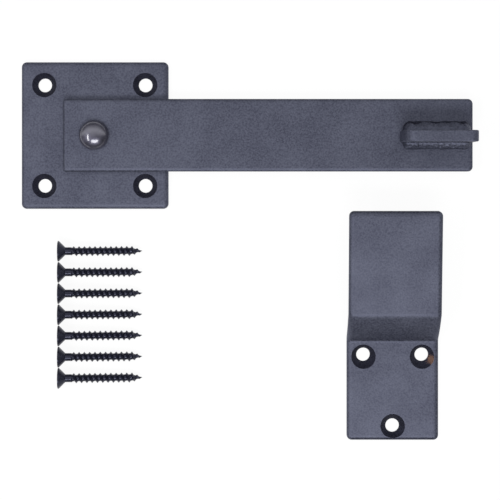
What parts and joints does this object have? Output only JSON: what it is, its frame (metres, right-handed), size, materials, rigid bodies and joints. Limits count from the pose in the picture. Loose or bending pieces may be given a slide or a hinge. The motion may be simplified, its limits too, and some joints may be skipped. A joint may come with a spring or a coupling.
{
  "type": "gate latch",
  "caption": "Flip-over bar latch for a gate: square back plate, flat bar on a domed rivet with a welded lift tab, joggled keeper and countersunk wood screws, laid out flat.",
  "frame": {"origin": "on the pivot axis, in the mounting face of the back plate, which is the plane that every piece lies on", "axes": "+X along the bar to its free end, +Y up when the latch hangs on a gate, +Z off the gate"},
  "size_m": [0.1839, 0.1545, 0.0216],
  "materials": {
    "powder_coat": "satin slate grey powder coat with a fine orange peel",
    "rivet_steel": "smooth dark semi-gloss",
    "screw_steel": "blue-black phosphate, lightly oiled"
  },
  "bodies": {
    "base": {"back_plate": "powder_coat", "pivot_rivet": "rivet_steel", "keeper": "powder_coat", "screw_1": "screw_steel", "screw_2": "screw_steel", "screw_3": "screw_steel", "screw_4": "screw_steel", "screw_5": "screw_steel", "screw_6": "screw_steel", "screw_7": "screw_steel"},
    "bar": {"latch_bar": "powder_coat", "lift_tab": "powder_coat", "tab_weld_upper": "powder_coat", "tab_weld_lower": "powder_coat"}
  },
  "joints": [
    {"name": "bar_pivot", "type": "hinge", "parent": "base", "child": "bar", "pos_m": [0, 0, 0.00465], "axis": [0, 0, 1], "range_deg": [0, 180]}
  ]
}
